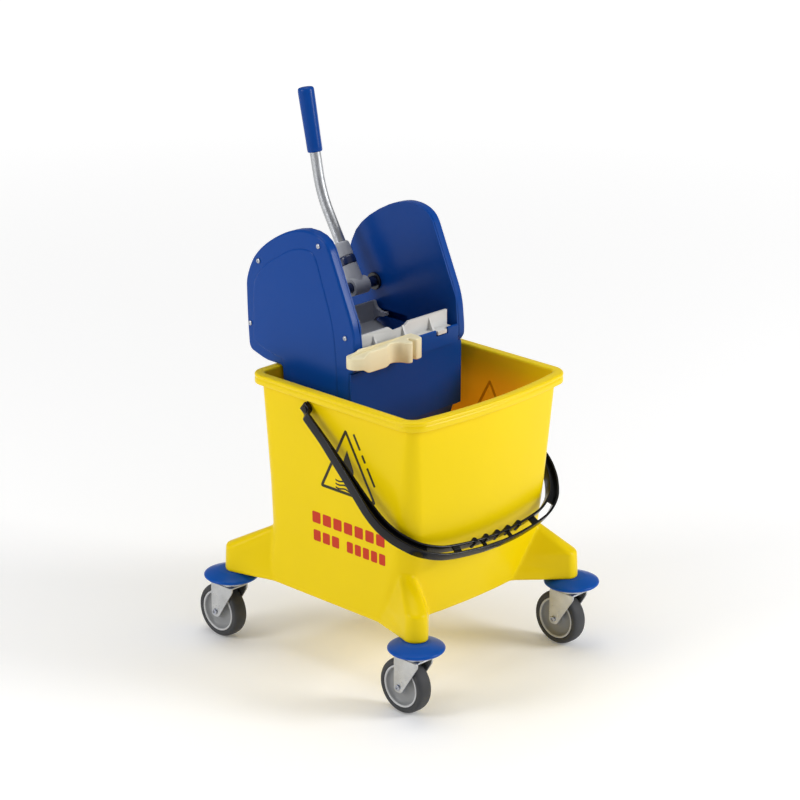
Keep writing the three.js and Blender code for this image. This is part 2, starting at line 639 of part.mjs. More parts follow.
const FRONT_X = 86;
const sheet = [[-7.5, 489], [-7.5, 401], [4, 330], [8, 330], [-3.5, 401.5], [-3.5, 489]];
let front = prismX(sheet, -FRONT_X, FRONT_X);
const dip = [[-32, 490], [-32, 489], [-22, 482], [-2, 483], [8, 489], [8, 490]];
const dipSolid = new THREE.ExtrudeGeometry(shapeOf(dip), { depth: 20, bevelEnabled: false });
dipSolid.rotateX(Math.PI / 2);
dipSolid.translate(0, 4, 0);
front = front.subtract(solid(dipSolid));
front = front.add(prismX([[-7, 463.4], [-7, 467], [-17.4, 466.6], [-17.4, 463.4]], -FRONT_X, FRONT_X));
const tab = [
  [-17, 463.4], [-17, 466.5], [-21.5, 466.2], [-21.5, 460.6], [-18.3, 460.6], [-18.3, 463.4],
];
front = front.add(prismX(tab, NOTCH[0] + 3, NOTCH[1] - 3));
for (const x of [-62, -4, 50]) {
  front = front.add(prismX([[-7, 466], [-7, 486], [-16.8, 466]], x - 2, x + 2));
}
for (let i = 0; i < 4; i += 1) {
  const x = -54 + 36 * i;
  front = front.subtract(box(x - 7, x + 7, -12, 15, 345, 410));
}
addPart('front_press_plate', front, WHITE);

// ---------------------------------------------------------------- mop handle clip
const CLIP = [
  [-6, -24.3], [-6, -38], [-9, -50], [-22, -51], [-24, -38], [-30, -41], [-32, -54], [-36, -56.5],
  [-42, -54], [-45, -44], [-52, -38], [-60, -37], [-66, -41], [-74, -44.5], [-108, -44.5],
  [-118, -42], [-124, -38], [-129, -32], [-130, -24], [-126, -17], [-116, -14.6], [-112, -21.6],
  [-96, -24.3],
];
let clip = prismZ(CLIP, 449, 479);
clip = clip.subtract(box(-140, -112, -60, 0, 440, 454.5));
clip = clip.subtract(box(-140, -116, -60, 0, 472, 480));
addPart('mop_handle_clip', clip, CREAM);

export default assembly;
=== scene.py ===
"""Looks of the mop bucket with its press wringer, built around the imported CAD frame.

Shapes are written in millimetres in the CAD's own layout (x across, y towards the wringer, z up, y = 0 midway
between the casters) and put into the row frame in metres by place().
"""

import math

import bmesh
import bpy
import numpy as np
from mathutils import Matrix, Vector
from mathutils.geometry import tessellate_polygon


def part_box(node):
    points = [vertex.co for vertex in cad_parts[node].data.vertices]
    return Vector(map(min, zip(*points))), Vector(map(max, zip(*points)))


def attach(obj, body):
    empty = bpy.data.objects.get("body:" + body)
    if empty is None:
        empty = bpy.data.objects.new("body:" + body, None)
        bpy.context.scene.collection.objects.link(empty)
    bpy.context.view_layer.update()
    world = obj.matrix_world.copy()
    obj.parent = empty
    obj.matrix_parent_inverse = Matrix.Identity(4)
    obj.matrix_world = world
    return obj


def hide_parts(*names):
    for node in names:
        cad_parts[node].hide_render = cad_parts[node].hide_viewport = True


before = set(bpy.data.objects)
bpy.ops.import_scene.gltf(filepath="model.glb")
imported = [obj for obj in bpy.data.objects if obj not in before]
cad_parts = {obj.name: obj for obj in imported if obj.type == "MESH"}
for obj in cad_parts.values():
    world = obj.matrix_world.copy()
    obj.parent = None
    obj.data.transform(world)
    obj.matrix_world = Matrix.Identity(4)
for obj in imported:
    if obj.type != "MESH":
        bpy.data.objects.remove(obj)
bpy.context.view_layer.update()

MM = 0.001
shaft_low, shaft_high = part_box("cross_shaft")
SHAFT_Y, SHAFT_Z = 145.0, 497.0
SHIFT_Y = (shaft_low[1] + shaft_high[1]) / 2 / MM - SHAFT_Y   # row frame minus CAD layout, mm
TAGS = {"front_left": (-1, -1), "front_right": (1, -1), "back_left": (-1, 1), "back_right": (1, 1)}
SIDES = {"left": -1, "right": 1}


def place(points):
    """CAD layout in mm to the row frame in metres."""
    p = np.asarray(points, dtype=float)
    return (p + [0, SHIFT_Y, 0]) * MM


# ------------------------------------------------------------------ materials
SINK_DEPTH, GRAIN_DEPTH, RUBBER_DEPTH = 0.0006, 0.00003, 0.00008   # relief of the surface grain, metres


def new_material(name, colour, roughness, metallic=0.0, specular=0.5):
    m = bpy.data.materials.new(name)
    m.use_nodes = True
    tree = m.node_tree
    shader = tree.nodes["Principled BSDF"]
    shader.inputs["Base Color"].default_value = (*colour, 1)
    shader.inputs["Roughness"].default_value = roughness
    shader.inputs["Metallic"].default_value = metallic
    shader.inputs["Specular IOR Level"].default_value = specular
    return m, tree, shader


def noise(tree, scale, detail=3.0, stretch=(1, 1, 1), roughness=0.55):
    place_at = tree.nodes.new("ShaderNodeTexCoord")
    mapping = tree.nodes.new("ShaderNodeMapping")
    mapping.inputs["Scale"].default_value = stretch
    texture = tree.nodes.new("ShaderNodeTexNoise")
    texture.inputs["Scale"].default_value = scale
    texture.inputs["Detail"].default_value = detail
    texture.inputs["Roughness"].default_value = roughness
    tree.links.new(place_at.outputs["Object"], mapping.inputs["Vector"])
    tree.links.new(mapping.outputs["Vector"], texture.inputs["Vector"])
    return texture.outputs["Fac"]


def ramp(tree, source, stops):
    node = tree.nodes.new("ShaderNodeValToRGB")
    points = node.color_ramp.elements
    while len(points) < len(stops):
        points.new(0.5)
    for point, (at, colour) in zip(points, stops):
        point.position = at
        point.color = (*colour, 1)
    tree.links.new(source, node.inputs["Fac"])
    return node.outputs["Color"]


def map_range(tree, source, low, high, to_low, to_high):
    node = tree.nodes.new("ShaderNodeMapRange")
    node.inputs["From Min"].default_value = low
    node.inputs["From Max"].default_value = high
    node.inputs["To Min"].default_value = to_low
    node.inputs["To Max"].default_value = to_high
    tree.links.new(source, node.inputs["Value"])
    return node.outputs["Result"]


def bump(tree, shader, heights):
    """heights: (height output, distance in metres, strength), chained."""
    normal = None
    for height, distance, strength in heights:
        node = tree.nodes.new("ShaderNodeBump")
        node.inputs["Distance"].default_value = distance
        node.inputs["Strength"].default_value = strength
        tree.links.new(height, node.inputs["Height"])
        if normal is not None:
            tree.links.new(normal, node.inputs["Normal"])
        normal = node.outputs["Normal"]
    tree.links.new(normal, shader.inputs["Normal"])


def shade(colour, factor):
    return tuple(min(1.0, c * factor) for c in colour)


def moulded_plastic(name, colour, roughness, scuffs=0.05, vary=0.03, specular=0.25):
    """Injection moulded plastic: faint flow mottling, orange-peel grain and fine handling scuffs."""
    m, tree, shader = new_material(name, colour, roughness, specular=specular)
    flow = noise(tree, 9.0, 4.0, (1, 1, 0.45))
    tint = ramp(tree, flow, [(0.3, shade(colour, 1 - vary)), (0.7, shade(colour, 1 + vary * 0.6))])
    tree.links.new(tint, shader.inputs["Base Color"])
    scuff = noise(tree, 60.0, 6.0, (1, 1, 3.5), 0.7)
    rough = map_range(tree, scuff, 0.42, 0.75, roughness, roughness + scuffs)
    tree.links.new(rough, shader.inputs["Roughness"])
    peel = noise(tree, 700.0, 2.0)
    sink = noise(tree, 9.0, 1.0)
    bump(tree, shader, [(sink, SINK_DEPTH, 0.08), (peel, GRAIN_DEPTH, 0.12)])
    return m


def lining_plastic_painted_shade(name, colour, painted_shade_colour, high, low, painted_glow):
    """The bucket's plastic with painted shade below the rim: the colour deepens downwards, and a painted glow
    stands in for light coming through the wall.
    """
    m = moulded_plastic(name, colour, 0.3, vary=0.02)
    tree = m.node_tree
    shader = tree.nodes["Principled BSDF"]
    place_at = tree.nodes.new("ShaderNodeTexCoord")
    split = tree.nodes.new("ShaderNodeSeparateXYZ")
    tree.links.new(place_at.outputs["Object"], split.inputs["Vector"])
    # painted shade: the colour deepens with depth below the rim, standing in for the shade inside the tub
    depth = map_range(tree, split.outputs["Z"], high, low, 0.0, 1.0)
    flow = shader.inputs["Base Color"].links[0].from_socket
    blend = tree.nodes.new("ShaderNodeMix")
    blend.data_type = "RGBA"
    blend.inputs[7].default_value = (*painted_shade_colour, 1)
    tree.links.new(depth, blend.inputs["Factor"])
    tree.links.new(flow, blend.inputs[6])
    tree.links.new(blend.outputs[2], shader.inputs["Base Color"])
    # painted glow: a weak emission in the painted shade colour stands in for light coming through the wall
    shader.inputs["Emission Color"].default_value = (*painted_shade_colour, 1)
    tree.links.new(map_range(tree, depth, 0.0, 1.0, 0.0, painted_glow), shader.inputs["Emission Strength"])
    return m


def plated_metal(name, colour, roughness, brushed=(1, 1, 1), scale=350.0, vary=0.1):
    """Zinc plate or drawn steel: fine directional scratches and a cloudy plate."""
    m, tree, shader = new_material(name, colour, roughness, metallic=1.0)
    cloud = noise(tree, 45.0, 4.0)
    tint = ramp(tree, cloud, [(0.3, shade(colour, 1 - vary)), (0.7, shade(colour, 1 + vary * 0.5))])
    tree.links.new(tint, shader.inputs["Base Color"])
    lines = noise(tree, scale, 3.0, brushed)
    rough = map_range(tree, lines, 0.3, 0.7, roughness * 0.75, roughness * 1.35)
    tree.links.new(rough, shader.inputs["Roughness"])
    bump(tree, shader, [(lines, GRAIN_DEPTH, 0.35)])
    return m


def rubber(name, colour):
    m, tree, shader = new_material(name, colour, 0.62, specular=0.4)
    dust = noise(tree, 30.0, 5.0)
    tint = ramp(tree, dust, [(0.35, shade(colour, 0.8)), (0.7, shade(colour, 1.45))])
    tree.links.new(tint, shader.inputs["Base Color"])
    rough = map_range(tree, dust, 0.3, 0.7, 0.5, 0.75)
    tree.links.new(rough, shader.inputs["Roughness"])
    grain = noise(tree, 700.0, 2.0)
    bump(tree, shader, [(grain, RUBBER_DEPTH, 0.6)])
    return m


# the second colour is painted shade for the inside of the tub
YELLOW, PAINTED_SHADE_YELLOW = (0.85, 0.62, 0.0), (0.93, 0.47, 0.01)
MAT = {
    "yellow": moulded_plastic("yellow_plastic", YELLOW, 0.28, vary=0.02, specular=0.14),
    # painted shade and a painted glow on the inside of the tub, below the rim
    "lining": lining_plastic_painted_shade("lining_plastic_painted_shade", YELLOW, PAINTED_SHADE_YELLOW, high=0.4035, low=0.365, painted_glow=0.13),
    # painted shadow of the wall print on the inside of the tub
    "shadowed": moulded_plastic("painted_print_shadow_on_lining", (0.66, 0.35, 0.0), 0.3, vary=0.02),
    "blue": moulded_plastic("blue_plastic", (0.002, 0.050, 0.265), 0.24, scuffs=0.02, specular=0.14),
    "disc": moulded_plastic("bumper_plastic", (0.003, 0.075, 0.38), 0.28, scuffs=0.02, specular=0.16),
    "black": moulded_plastic("black_plastic", (0.004, 0.004, 0.005), 0.2, vary=0.2, specular=0.25),
    "dark": moulded_plastic("bush_plastic", (0.008, 0.010, 0.018), 0.2, vary=0.2, specular=0.5),
    "cream": moulded_plastic("cream_plastic", (0.80, 0.72, 0.48), 0.38, vary=0.03),
    "white": moulded_plastic("white_plastic", (0.62, 0.62, 0.61), 0.36, vary=0.04),
    "grey": moulded_plastic("grey_plastic", (0.34, 0.35, 0.38), 0.4, vary=0.05),
    "hub": moulded_plastic("hub_plastic", (0.27, 0.275, 0.28), 0.36, vary=0.12, specular=0.5),
    "hub_ring": moulded_plastic("hub_ring_plastic", (0.58, 0.585, 0.59), 0.34, vary=0.04, specular=0.5),
    "mark": moulded_plastic("black_print", (0.03, 0.024, 0.008), 0.4, vary=0.2),
    "red": moulded_plastic("red_print", (0.55, 0.03, 0.003), 0.4, vary=0.05),
    "zinc": plated_metal("zinc_plate", (0.56, 0.57, 0.58), 0.33, vary=0.14),
    "steel": plated_metal("drawn_steel", (0.45, 0.46, 0.475), 0.42, (1, 1, 0.04), 500.0),
    "screw": plated_metal("screw_steel", (0.45, 0.47, 0.52), 0.38),
    "guide": plated_metal("guide_steel", (0.60, 0.61, 0.63), 0.25, (0.04, 1, 1), 500.0),
    "navy": moulded_plastic("navy_paint", (0.010, 0.020, 0.07), 0.22, specular=0.6),
    "tread": rubber("tread_rubber", (0.040, 0.041, 0.044)),
}


# ------------------------------------------------------------------ mesh helpers
def finish_mesh(name, mesh, material, body, nodes, smooth_angle=35.0):
    """Outward normals, smooth shading with crisp edges kept, then the frame's own calls."""
    work = bmesh.new()
    work.from_mesh(mesh)
    bmesh.ops.remove_doubles(work, verts=work.verts, dist=1e-7)
    bmesh.ops.recalc_face_normals(work, faces=work.faces)
    work.to_mesh(mesh)
    work.free()
    piece = bpy.data.objects.new(name, mesh)
    bpy.context.scene.collection.objects.link(piece)
    mesh.materials.clear()
    mesh.materials.append(MAT[material])
    for polygon in mesh.polygons:
        polygon.use_smooth = True
    mesh.set_sharp_from_angle(angle=math.radians(smooth_angle))
    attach(piece, body)
    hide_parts(*nodes)
    return piece


def raw_mesh(name, points, faces):
    mesh = bpy.data.meshes.new(name)
    mesh.from_pydata([tuple(p) for p in place(points)], [], faces)
    mesh.validate()
    return mesh


def join(name, shells):
    """shells: [(points, faces), ...] in CAD layout, joined in one mesh."""
    points, faces = [], []
    for shell_points, shell_faces in shells:
        base = len(points)
        points.extend([tuple(p) for p in shell_points])
        faces.extend([[base + i for i in f] for f in shell_faces])
    return raw_mesh(name, points, faces)


def loft(rings, closed=False):
    """Shell through rings of equal length, joined end to end if closed and else capped with fans."""
    n = len(rings[0])
    points = [tuple(p) for ring in rings for p in ring]
    faces = []
    last = len(rings) if closed else len(rings) - 1
    for k in range(last):
        a0, b0 = k * n, ((k + 1) % len(rings)) * n
        for i in range(n):
            j = (i + 1) % n
            faces.append([a0 + i, a0 + j, b0 + j, b0 + i])
    if not closed:
        for ring, start, flip in ((rings[0], 0, True), (rings[-1], (len(rings) - 1) * n, False)):
            middle = len(points)
            points.append(tuple(np.mean(np.asarray(ring, dtype=float), axis=0)))
            for i in range(n):
                j = (i + 1) % n
                face = [start + i, start + j, middle]
                faces.append(face[::-1] if flip else face)
    return points, faces


ON_AXIS = 0.0005   # mm: least radius of a turned ring, so that its points stay apart


def turned(profile, at, axis, segments=72):
    """Shell of a (radius, height) profile turned about axis through at.

    The profile ends on the axis or closes on itself.
    """
    axis = Vector(axis).normalized()
    side = axis.orthogonal().normalized()
    other = axis.cross(side)
    rings = []
    closed = profile[0] == profile[-1]
    rows = profile[:-1] if closed else profile
    for radius, height in rows:
        ring = []
        for i in range(segments):
            a = 2 * math.pi * i / segments
            r = max(radius, ON_AXIS)
            p = Vector(at) + axis * height + (side * math.cos(a) + other * math.sin(a)) * r
            ring.append(tuple(p))
        rings.append(ring)
    return loft(rings, closed)


def rounded(profile, radius, steps=4):
    """Rounds the inner corners of an open (radius, height) profile."""
    out = [tuple(profile[0])]
    for before, corner, after in zip(profile, profile[1:], profile[2:]):
        c = Vector(corner)
        u = Vector(before) - c
        v = Vector(after) - c
        r = min(radius, u.length * 0.45, v.length * 0.45)
        a = c + u.normalized() * r
        b = c + v.normalized() * r
        for i in range(steps + 1):
            t = i / steps
            p = a * (1 - t) ** 2 + c * 2 * t * (1 - t) + b * t ** 2
            out.append((p.x, p.y))
    out.append(tuple(profile[-1]))
    return out


def round_closed(points, radius, steps=4):
    """Rounds every corner of a closed outline; radius is one number or one for each corner."""
    n = len(points)
    out = []
    for i in range(n):
        c = Vector(points[i])
        u = Vector(points[i - 1]) - c
        v = Vector(points[(i + 1) % n]) - c
        wanted = radius[i] if isinstance(radius, (list, tuple)) else radius
        r = min(wanted, u.length * 0.48, v.length * 0.48)
        a = c + u.normalized() * r
        b = c + v.normalized() * r
        for k in range(steps + 1):
            t = k / steps
            p = a * (1 - t) ** 2 + c * 2 * t * (1 - t) + b * t ** 2
            out.append((p.x, p.y))
    return out


def inset_outline(points, amount):
    """Moves a closed outline inwards along its corner bisectors."""
    p = np.asarray(points, dtype=float)
    before, after = np.roll(p, 1, axis=0), np.roll(p, -1, axis=0)
    u = p - before
    v = after - p
    u /= np.maximum(np.linalg.norm(u, axis=1, keepdims=True), 1e-9)
    v /= np.maximum(np.linalg.norm(v, axis=1, keepdims=True), 1e-9)
    area = np.sum(p[:, 0] * after[:, 1] - after[:, 0] * p[:, 1])
    turn = 1.0 if area > 0 else -1.0
    nu = np.stack([-u[:, 1], u[:, 0]], axis=1) * turn
    nv = np.stack([-v[:, 1], v[:, 0]], axis=1) * turn
    m = nu + nv
    m /= np.maximum(np.linalg.norm(m, axis=1, keepdims=True), 1e-9)
    k = amount / np.maximum(0.5, np.sum(m * nu, axis=1))
    return p + m * k[:, None]


def cap_faces(outline, indices):
    """Triangles over a flat closed outline, as indices."""
    flat = [Vector((p[0], p[1], 0)) for p in outline]
    return [[indices[i] for i in triangle] for triangle in tessellate_polygon([flat])]


def slab(outline, levels, to_point):
    """Closed shell over an outline at levels of (height, inset), placed by to_point(u, v, height)."""
    n = len(outline)
    points, faces = [], []
    flats = []
    for height, amount in levels:
        flat = inset_outline(outline, amount) if amount else np.asarray(outline, dtype=float)
        flats.append(flat)
        points.extend([to_point(u, v, height) for u, v in flat])
    for k in range(len(levels) - 1):
        for i in range(n):
            j = (i + 1) % n
            faces.append([k * n + i, k * n + j, (k + 1) * n + j, (k + 1) * n + i])
    faces.extend(cap_faces(flats[0], list(range(n))))
    last = (len(levels) - 1) * n
    faces.extend(cap_faces(flats[-1], [last + i for i in range(n)]))
    return points, faces


def edge_levels(low, high, radius, steps=4):
    """(height, inset) pairs of a slab whose two rims are rounded."""
    out = []
    for i in range(steps + 1):
        a = math.pi / 2 * i / steps
        out.append((low + radius * (1 - math.sin(a)), radius * (1 - math.cos(a))))
    out = out[::-1]
    for i in range(steps + 1):
        a = math.pi / 2 * i / steps
        out.append((high - radius * (1 - math.sin(a)), radius * (1 - math.cos(a))))
    return out


def sweep(path, section, directions):
    """Carries a closed (a, b) section along path; directions has the section's two axes at each point."""
    rings = []
    for p, (e1, e2) in zip(path, directions):
        rings.append([tuple(np.asarray(p) + np.asarray(e1) * a + np.asarray(e2) * b) for a, b in section])
    return loft(rings)


def spline(points, steps=6):
    """Smooth open curve through points (Catmull-Rom)."""
    p = np.asarray(points, dtype=float)
    p = np.vstack([2 * p[0] - p[1], p, 2 * p[-1] - p[-2]])
    out = []
    for i in range(1, len(p) - 2):
        for k in range(steps):
            t = k / steps
            a, b, c, d = p[i - 1], p[i], p[i + 1], p[i + 2]
            out.append(0.5 * ((2 * b) + (c - a) * t + (2 * a - 5 * b + 4 * c - d) * t ** 2
                              + (3 * b - a - 3 * c + d) * t ** 3))
    out.append(p[-2])
    return np.array(out)


def apply_modifiers(piece):
    """Bakes the modifiers into the mesh, so every visible shape is geometry."""
    depsgraph = bpy.context.evaluated_depsgraph_get()
    made = bpy.data.meshes.new_from_object(piece.evaluated_get(depsgraph))
    piece.modifiers.clear()
    piece.data = made
    return piece


EDGE_ANGLE, FLAT_ANGLE = 28.0, 2.0   # degrees between faces: over one is an edge, under the other is flat


def refined(name, node, material, body, width):
    """A finished moulding over a CAD node: flat faces are made whole and edges are rounded, width in mm."""
    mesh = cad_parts[node].data.copy()
    work = bmesh.new()
    work.from_mesh(mesh)
    bmesh.ops.remove_doubles(work, verts=work.verts, dist=2e-6)
    bmesh.ops.dissolve_limit(work, angle_limit=math.radians(FLAT_ANGLE), verts=work.verts, edges=work.edges)
    work.to_mesh(mesh)
    work.free()
    piece = finish_mesh(name, mesh, material, body, (node,), EDGE_ANGLE)
    rounding = piece.modifiers.new("edges", "BEVEL")
    rounding.width = width * MM
    rounding.segments = 3
    rounding.limit_method = "ANGLE"
    rounding.angle_limit = math.radians(EDGE_ANGLE)
    rounding.use_clamp_overlap = True
    rounding.harden_normals = True
    bpy.context.view_layer.update()
    return apply_modifiers(piece)


# ------------------------------------------------------------------ camera, light and floor
scene = bpy.context.scene
CAMERA_AT = Vector(place([(-2662.6, -2582.1, 1674.9)])[0])
CAMERA_AIM = Vector(place([(64.82, 64.94, 340.0)])[0])
camera_data = bpy.data.cameras.new("camera")
camera_data.lens = 125.2
camera_data.sensor_width = 36.0
camera_data.clip_end = 30.0
camera = bpy.data.objects.new("camera", camera_data)
camera.location = CAMERA_AT
camera.rotation_euler = (CAMERA_AIM - CAMERA_AT).to_track_quat("-Z", "Y").to_euler()
scene.collection.objects.link(camera)
scene.camera = camera
scene.view_settings.view_transform = "Standard"


def area_light(name, at, aim, size, power):
    data = bpy.data.lights.new(name, "AREA")
    data.shape = "RECTANGLE"
    data.size, data.size_y = size
    data.energy = power
    light = bpy.data.objects.new(name, data)
    light.location = at
    light.rotation_euler = (Vector(aim) - Vector(at)).to_track_quat("-Z", "Y").to_euler()
    scene.collection.objects.link(light)


area_light("front_softbox", (1.5, -2.4, 1.5), (0, 0, 0.35), (1.0, 1.2), 52)
area_light("left_softbox", (-2.5, 0.9, 1.5), (0, 0, 0.35), (1.1, 1.4), 32)
area_light("top_softbox", (0.0, 0.2, 2.8), (0, 0, 0.3), (1.8, 1.8), 24)
world = bpy.data.worlds.new("studio")
world.use_nodes = True
world.node_tree.nodes["Background"].inputs["Color"].default_value = (1, 1, 1, 1)
world.node_tree.nodes["Background"].inputs["Strength"].default_value = 0.3
scene.world = world

FLOOR_HALF = 9
floor_mesh = bpy.data.meshes.new("floor")
floor_mesh.from_pydata([(x * FLOOR_HALF, y * FLOOR_HALF, 0) for x, y in ((-1, -1), (1, -1), (1, 1), (-1, 1))],
                       [], [[0, 1, 2, 3]])
floor = bpy.data.objects.new("floor", floor_mesh)
floor.location.z = -0.0005
scene.collection.objects.link(floor)
floor_material, floor_tree, floor_shader = new_material("pale_floor", (0.92, 0.92, 0.92), 0.7, specular=0.2)
floor_shader.inputs["Emission Color"].default_value = (1, 1, 1, 1)
floor_place = floor_tree.nodes.new("ShaderNodeTexCoord")
floor_reach = floor_tree.nodes.new("ShaderNodeVectorMath")
floor_reach.operation = "LENGTH"
floor_tree.links.new(floor_place.outputs["Object"], floor_reach.inputs[0])
floor_glow = map_range(floor_tree, floor_reach.outputs["Value"], 0.3, 4.0, 0.12, 0.75)
floor_tree.links.new(floor_glow, floor_shader.inputs["Emission Strength"])
floor_mesh.materials.append(floor_material)


# ------------------------------------------------------------------ bucket
RIM_Z, RIM_KEY = 419.3, (149, -164, 134, 14, 15)
# height, then half width, front, back, corner radius and bow of the front wall
WALL_KEYS = [
    (108.8, 153, -128, 136, 28, 13), (190, 145, -147, 130, 28, 14), (258, 145.7, -155, 130.7, 25, 15),
    (405, 149, -164, 134, 14, 15), (440, 149.8, -166, 134.8, 14, 15),
]
CAVITY_KEYS = [
    (123, 139, -124, 124, 22, 12), (190, 141, -143, 126, 24, 14), (258, 141.7, -151, 126.7, 21, 15),
    (405, 145, -160, 130, 10.5, 15), (421.3, 145.5, -160.5, 130.5, 10.5, 15),
]


def level(keys, z):
    """Half width, front, back, corner radius and bow at height z."""
    table = np.asarray(keys, dtype=float)
    return [float(np.interp(z, table[:, 0], table[:, k])) for k in range(1, 6)]


CORNER_STEPS, SIDE_STEPS = 14, 26


def tub_ring(z, half, front, back, radius, bow, grow=0.0):
    """One horizontal outline of the tub: along the front, then the right side, the back and the left side."""
    a, f, b = half + grow, front - grow, back + grow
    r = max(radius + grow, 1.5)
    points = []

    def line(x0, y0, x1, y1):
        for i in range(1, SIDE_STEPS):
            t = i / SIDE_STEPS
            points.append((x0 + (x1 - x0) * t, y0 + (y1 - y0) * t))

    def bend(cx, cy, a0, a1):
        for i in range(CORNER_STEPS + 1):
            t = math.radians(a0 + (a1 - a0) * i / CORNER_STEPS)
            points.append((cx + r * math.cos(t), cy + r * math.sin(t)))

    line(-a + r, f, a - r, f)
    bend(a - r, f + r, -90, 0)
    line(a, f + r, a, b - r)
    bend(a - r, b - r, 0, 90)
    line(a - r, b, -a + r, b)
    bend(-a + r, b - r, 90, 180)
    line(-a, b - r, -a, f + r)
    bend(-a + r, f + r, 180, 270)
    out = []
    for x, y in points:
        t = min(1.0, abs(x) / a)
        near_front = min(1.0, max(0.0, (f + r - y) / r))
        out.append((x, y - bow * (1 - t * t) * near_front, z))
    return out


def wall_ring(z, grow):
    return tub_ring(z, *level(WALL_KEYS, z), grow=grow)


def rim_ring(z, out):
    return tub_ring(z, *RIM_KEY, grow=out)


def cavity_ring(z, grow):
    return tub_ring(z, *level(CAVITY_KEYS, z), grow=grow)


RIM_FOOT = 403.0
# height and distance outside RIM_KEY, up the wall, out under the rolled rim, over it and down inside
rim_profile = [
    (RIM_FOOT, -1.4), (RIM_FOOT, 0.05), (413.2, 0.05), (414.4, 0.9), (414.8, 2.4), (414.6, 5.6), (413.4, 7.0),
    (405.9, 8.6), (405.0, 9.3), (404.9, 10.1), (405.3, 10.9), (406.3, 11.3), (409, 11.35), (411.9, 11.15),
    (412.8, 10.7), (413.5, 10.35), (414.2, 10.6), (414.9, 11.1), (416.0, 11.45), (417.2, 11.4),
    (418.3, 10.9), (419.0, 10.0), (RIM_Z, 8.8), (RIM_Z, 4), (RIM_Z, 0), (419.1, -1.6), (418.5, -2.7),
    (417.2, -3.4), (415, -3.6),
]
# height and distance inside the lowest cavity outline, round the corner where walls meet floor
floor_profile = [(134, 0.05), (130.5, 0.5), (127.5, 1.5), (125.3, 3.2), (123.8, 5.6), (123.15, 8.6),
                 (123, 12), (123, 40), (123, 80)]
rings = [wall_ring(z, -1.5) for z in (121.6, 150, 190, 224, 258, 300, 350, 385, RIM_FOOT - 0.5)]
rings += [rim_ring(z, out) for z, out in rim_profile]
rings += [cavity_ring(z, 0) for z in np.linspace(410, 140, 28)]
rings += [cavity_ring(z, -inside) for z, inside in floor_profile]
finish_mesh("bucket_rim_and_lining", raw_mesh("bucket_rim_and_lining", *loft(rings)), "lining", "base",
            ("bucket_tub",), 60.0)

# Front (-1) and back (1) feet at three heights: height, tip radius, tip centre, and where the two sides of the
# foot meet the side wall and the end wall.
FEET = {
    -1: [(108.9, 18.3, (155.2, 178.7), (150.5, 92), (80, 133)),
         (148, 16.8, (155, 178.5), (144, 116), (100, 138)),
         (185, 11, (131, 136), (137, 124), (112, 133))],
    1: [(108.9, 18.3, (154.9, 179), (150.5, 98), (80, 132.5)),
        (148, 16.8, (154.7, 178.8), (144, 108), (100, 128)),
        (185, 11, (130, 117), (136, 106), (112, 124))],
}
FOOT_HEIGHTS = (108.9, 120, 135, 144, 148, 156, 166, 176, 185)
FOOT_INSIDE = (95, 90)   # the corner of a foot's outline that is hidden within the tub


def foot(side, end):
    rings = []
    keys = FEET[end]
    for z in FOOT_HEIGHTS:
        k = 0 if z <= keys[1][0] else 1
        a, b = keys[k], keys[k + 1]
        t = (z - a[0]) / (b[0] - a[0])
        radius = a[1] + (b[1] - a[1]) * t
        (cx, cy), on_side, on_end = ([u + (v - u) * t for u, v in zip(a[i], b[i])] for i in (2, 3, 4))
        outline = [FOOT_INSIDE, on_side]
        for i in range(17):
            angle = math.radians(-15 + 130 * i / 16)
            outline.append((cx + radius * math.cos(angle), cy + radius * math.sin(angle)))
        outline.append(on_end)
        rings.append([(side * x, end * y, z) for x, y in outline])
    return loft(rings)


def mesh_object(name, shell):
    mesh = raw_mesh(name, *shell)
    work = bmesh.new()
    work.from_mesh(mesh)
    bmesh.ops.recalc_face_normals(work, faces=work.faces)
    work.to_mesh(mesh)
    work.free()
    piece = bpy.data.objects.new(name, mesh)
    scene.collection.objects.link(piece)
    return piece


def combine(piece, tool, operation):
    """Joins the tool to the piece or cuts it away, then drops the tool."""
    step = piece.modifiers.new("combine", "BOOLEAN")
    step.operation = operation
    step.object = tool
    step.solver = "EXACT"
    bpy.context.view_layer.update()
    apply_modifiers(piece)
    bpy.data.objects.remove(tool)


# Outside of the bucket: walls and feet melted together, then hollowed for the lining and under the floor.
MELT_VOXEL = 2.3
block_rings = [wall_ring(z, 0) for z in (108.9, 112, *np.linspace(120, 400, 29), 404)]
outside = mesh_object("bucket_outside", loft(block_rings))
for side, end in TAGS.values():
    combine(outside, mesh_object("foot", foot(side, end)), "UNION")
melt = outside.modifiers.new("melt", "REMESH")
melt.mode = "VOXEL"
melt.voxel_size = MELT_VOXEL * MM
ease = outside.modifiers.new("ease", "SMOOTH")
ease.factor = 0.5
ease.iterations = 9
bpy.context.view_layer.update()
apply_modifiers(outside)
cavity = [wall_ring(z, -1.6) for z in (121.4, 190, 258, 330, 405, 430)]
combine(outside, mesh_object("hollow", loft(cavity)), "DIFFERENCE")
skirt = [tub_ring(z, 148, -123, 131, 24, 13, grow=g) for z, g in ((100, 0), (116.5, 0), (118, -1.5))]
combine(outside, mesh_object("skirt_hollow", loft(skirt)), "DIFFERENCE")
shell_mesh = outside.data
bpy.data.objects.remove(outside)
finish_mesh("bucket_walls_and_feet", shell_mesh, "yellow", "base", ("bucket_tub",), 42.0)


# Printed marks on both side walls: a plain triangle with a drop and waves, and rows of plain blocks.
def wall_point(side, keys, y, z, lift):
    return (side * (level(keys, z)[0] + lift), y, z)


def print_patch(side, outline, hole=None, keys=WALL_KEYS, lifts=(-0.07, 0.18)):
    """Thin closed patch on a side wall, between two lifts; hole is an inner outline with as many points."""
    low, high = lifts
    if hole is None:
        return slab(outline, [(low, 0), (high, 0)], lambda y, z, lift: wall_point(side, keys, y, z, lift))
    rings = []
    for ring, height in ((outline, low), (outline, high), (hole, high), (hole, low)):
        rings.append([wall_point(side, keys, y, z, height) for y, z in ring])
    return loft(rings, closed=True)


